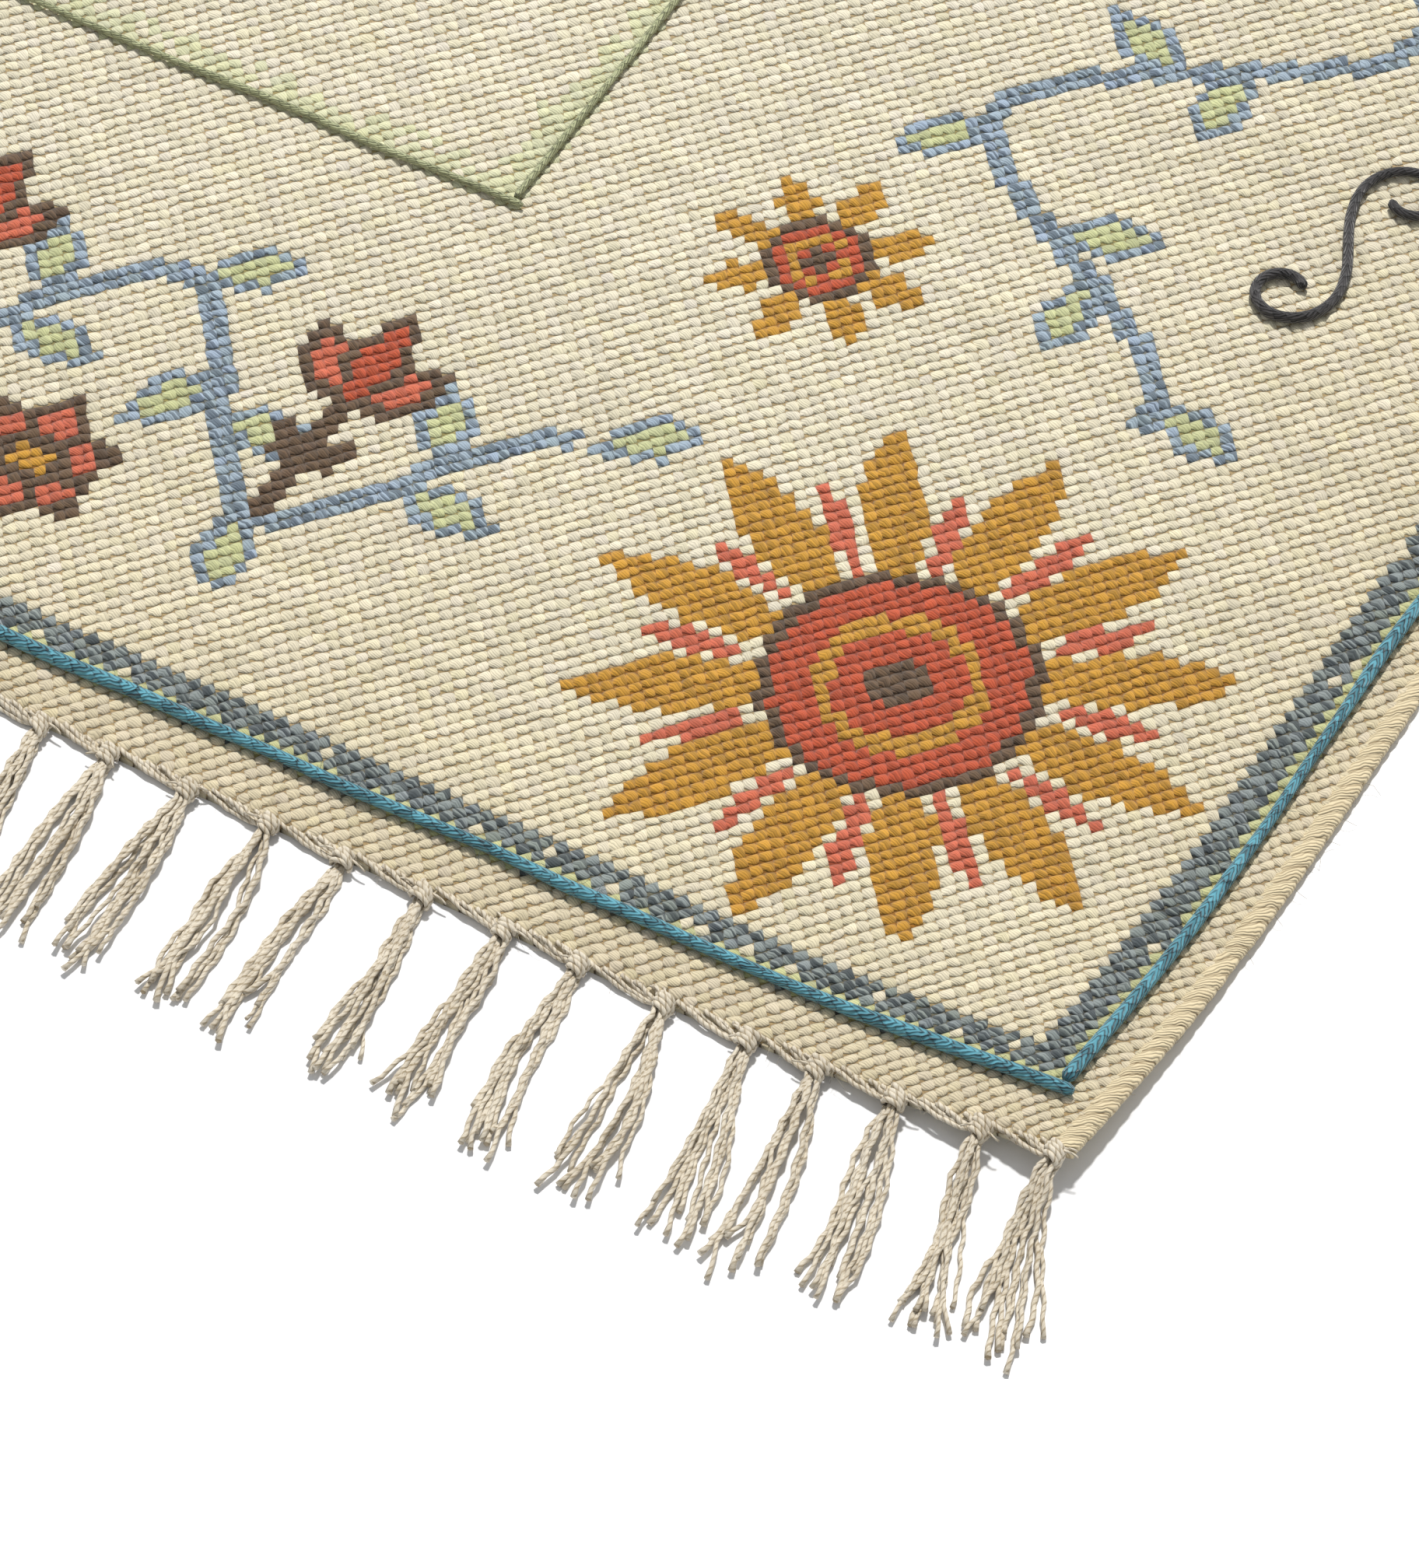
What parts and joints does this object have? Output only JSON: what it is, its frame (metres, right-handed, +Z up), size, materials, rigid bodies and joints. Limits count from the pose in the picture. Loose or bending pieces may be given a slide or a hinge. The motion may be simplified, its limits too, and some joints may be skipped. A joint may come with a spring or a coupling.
{
  "type": "flat-woven rug",
  "caption": "Flat-woven cotton rug with a woven floral design, coloured cords laid on its face and a knotted fringe along both ends.",
  "frame": {"origin": "on the floor under the middle of the rug", "axes": "+Z up out of the rug's face, +Y along the rug's length from one fringed end to the other, +X across its width"},
  "size_m": [1.2306, 1.9558, 0.0137],
  "materials": {
    "cream_cotton": "matte",
    "fringe_cotton": "matte",
    "teal_yarn": "matte",
    "pale_green_yarn": "matte",
    "black_yarn": "matte"
  },
  "bodies": {
    "root": {"rug_cloth": "cream_cotton", "fringe_front": "fringe_cotton", "fringe_back": "fringe_cotton", "border_cord_front": "teal_yarn", "border_cord_back": "teal_yarn", "border_cord_right": "teal_yarn", "border_cord_left": "teal_yarn", "panel_cord_front": "pale_green_yarn", "panel_cord_back": "pale_green_yarn", "panel_cord_right": "pale_green_yarn", "panel_cord_left": "pale_green_yarn", "scroll_cord_1": "black_yarn", "scroll_cord_2": "black_yarn", "scroll_cord_3": "black_yarn", "scroll_cord_4": "black_yarn"}
  },
  "joints": []
}
